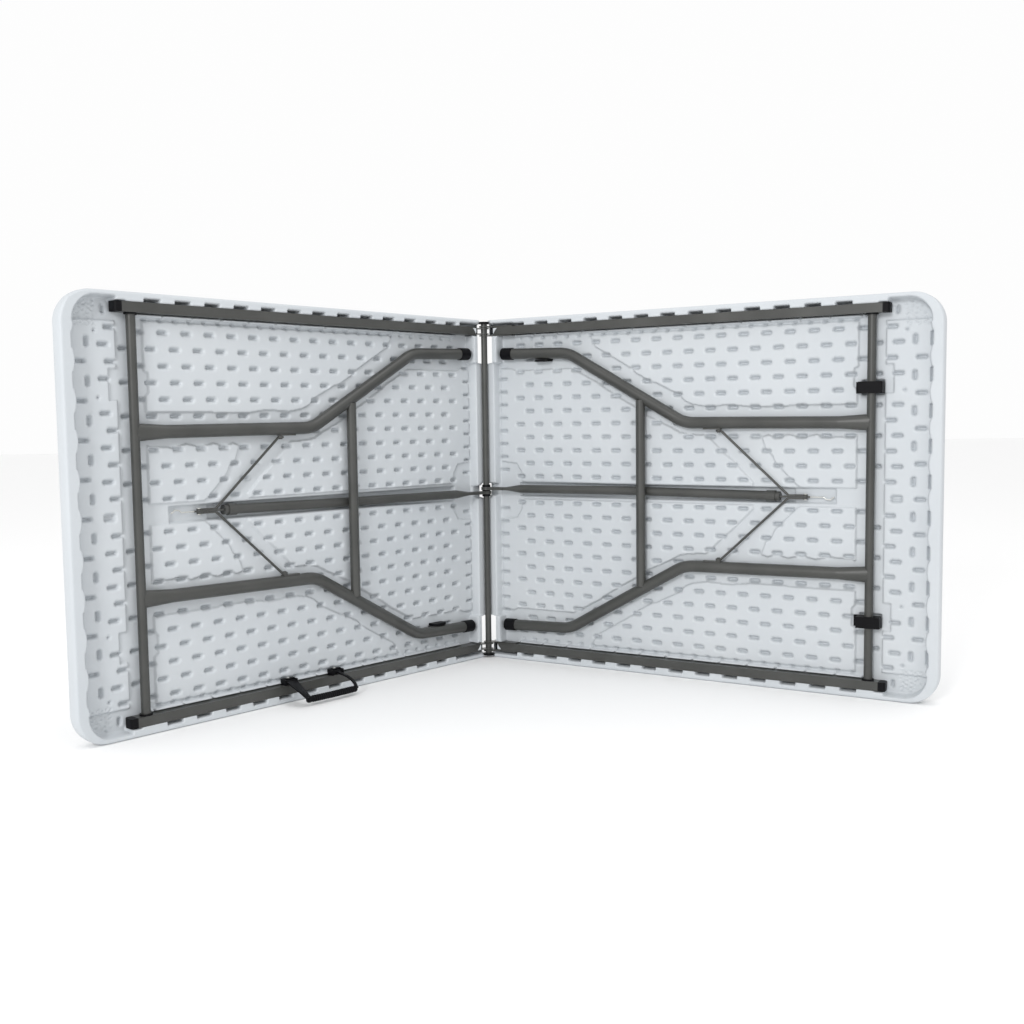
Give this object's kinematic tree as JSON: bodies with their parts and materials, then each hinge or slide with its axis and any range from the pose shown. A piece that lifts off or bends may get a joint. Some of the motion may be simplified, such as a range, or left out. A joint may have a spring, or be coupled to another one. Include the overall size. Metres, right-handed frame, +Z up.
{
  "type": "folding table",
  "caption": "White blow-moulded table that folds in half, with grey steel wishbone-braced legs and a black carrying strap, standing half open on its long edge",
  "frame": {"origin": "middle of the footprint on the floor, with the table standing on one long edge and its two halves opened to 102 degrees", "axes": "+Z up along the fold axis, -Y toward the undersides and legs, +X toward the half that carries the latches"},
  "size_m": [1.4286, 0.5973, 0.7],
  "materials": {
    "hdpe": "moulded white polyethylene, slightly blue, fine matte texture",
    "steel": "charcoal grey powder coat, satin",
    "black_plastic": "black moulded plastic, low sheen",
    "zinc": "bright zinc plated steel"
  },
  "bodies": {
    "left_half": {"left_panel": "hdpe", "left_rail_upper": "steel", "left_rail_lower": "steel", "left_rail_caps": "black_plastic", "left_hinge_ears": "steel", "left_pivot_bushes": "black_plastic", "left_leg_clip": "black_plastic", "hinge_tube": "steel", "hinge_tube_caps": "black_plastic", "brace_spacers": "black_plastic", "strap_mounts": "black_plastic", "strap_screws": "zinc"},
    "right_half": {"right_panel": "hdpe", "right_rail_upper": "steel", "right_rail_lower": "steel", "right_rail_caps": "black_plastic", "right_hinge_ears": "steel", "right_pivot_bushes": "black_plastic", "right_leg_clip": "black_plastic"},
    "left_leg_set": {"left_cross_tube": "steel", "left_leg_upper": "steel", "left_leg_lower": "steel", "left_leg_bar": "steel", "left_foot_caps": "black_plastic", "left_link_studs": "steel"},
    "left_brace": {"left_brace_tube": "steel", "left_brace_tongue": "steel", "left_brace_pin": "zinc", "left_brace_spring": "zinc"},
    "left_wishbone": {"left_wishbone_rod_upper": "steel", "left_wishbone_rod_lower": "steel", "left_joint_heads": "zinc"},
    "left_sleeve": {"left_lock_sleeve": "steel"},
    "right_leg_set": {"right_cross_tube": "steel", "right_leg_upper": "steel", "right_leg_lower": "steel", "right_leg_bar": "steel", "right_foot_caps": "black_plastic", "right_link_studs": "steel"},
    "right_brace": {"right_brace_tube": "steel", "right_brace_tongue": "steel", "right_brace_pin": "zinc", "right_brace_spring": "zinc"},
    "right_wishbone": {"right_wishbone_rod_upper": "steel", "right_wishbone_rod_lower": "steel", "right_joint_heads": "zinc"},
    "right_sleeve": {"right_lock_sleeve": "steel"},
    "handle": {"carry_strap": "black_plastic", "strap_grip": "black_plastic"},
    "upper_latch": {"latch_upper": "black_plastic"},
    "lower_latch": {"latch_lower": "black_plastic"}
  },
  "joints": [
    {"name": "fold", "type": "hinge", "parent": "left_half", "child": "right_half", "pos_m": [0, 0.26434, 0.35], "axis": [0, 0, 1], "range_deg": [-101.89, 78.11], "deforming": ["carry_strap", "strap_grip"]},
    {"name": "right_leg", "type": "hinge", "parent": "right_half", "child": "right_leg_set", "pos_m": [0.61219, -0.21435, 0.35], "axis": [0, 0, 1], "range_deg": [0, 90]},
    {"name": "right_brace_turn", "type": "hinge", "parent": "right_half", "child": "right_brace", "pos_m": [0, 0.26434, 0.35], "axis": [0, 0, -1], "range_deg": [0, 20.98]},
    {"name": "right_wishbone_turn", "type": "hinge", "parent": "right_leg_set", "child": "right_wishbone", "pos_m": [0.39787, -0.04045, 0.35], "axis": [0, 0, 1], "range_deg": [0, 66.69]},
    {"name": "right_sleeve_slide", "type": "slide", "parent": "right_brace", "child": "right_sleeve", "axis": [0.7745, -0.6324, -0.0126], "range_m": [-0.1, 0]},
    {"name": "left_leg", "type": "hinge", "parent": "left_half", "child": "left_leg_set", "pos_m": [-0.61219, -0.21435, 0.35], "axis": [0, 0, -1], "range_deg": [0, 90]},
    {"name": "left_brace_turn", "type": "hinge", "parent": "left_half", "child": "left_brace", "pos_m": [0, 0.26434, 0.35], "axis": [0, 0, 1], "range_deg": [0, 20.98]},
    {"name": "left_wishbone_turn", "type": "hinge", "parent": "left_leg_set", "child": "left_wishbone", "pos_m": [-0.39787, -0.04045, 0.35], "axis": [0, 0, -1], "range_deg": [0, 66.69]},
    {"name": "left_sleeve_slide", "type": "slide", "parent": "left_brace", "child": "left_sleeve", "axis": [-0.7745, -0.6324, 0.0126], "range_m": [-0.1, 0]},
    {"name": "handle_swing", "type": "hinge", "parent": "left_half", "child": "handle", "pos_m": [-0.35417, -0.01337, 0.0365], "axis": [-0.7765, -0.6301, 0], "range_deg": [0, 85]},
    {"name": "upper_latch_turn", "type": "hinge", "parent": "right_leg_set", "child": "upper_latch", "pos_m": [0.61219, -0.21435, 0.5425], "axis": [0, 0, 1], "range_deg": [0, 90]},
    {"name": "lower_latch_turn", "type": "hinge", "parent": "right_leg_set", "child": "lower_latch", "pos_m": [0.61219, -0.21435, 0.134], "axis": [0, 0, 1], "range_deg": [0, 90]}
  ],
  "couplings": [
    {"joint": "right_brace_turn", "follows": "right_leg", "ratio": 0.23307},
    {"joint": "right_wishbone_turn", "follows": "right_leg", "ratio": 0.74101},
    {"joint": "left_brace_turn", "follows": "left_leg", "ratio": 0.23307},
    {"joint": "left_wishbone_turn", "follows": "left_leg", "ratio": 0.74101}
  ]
}
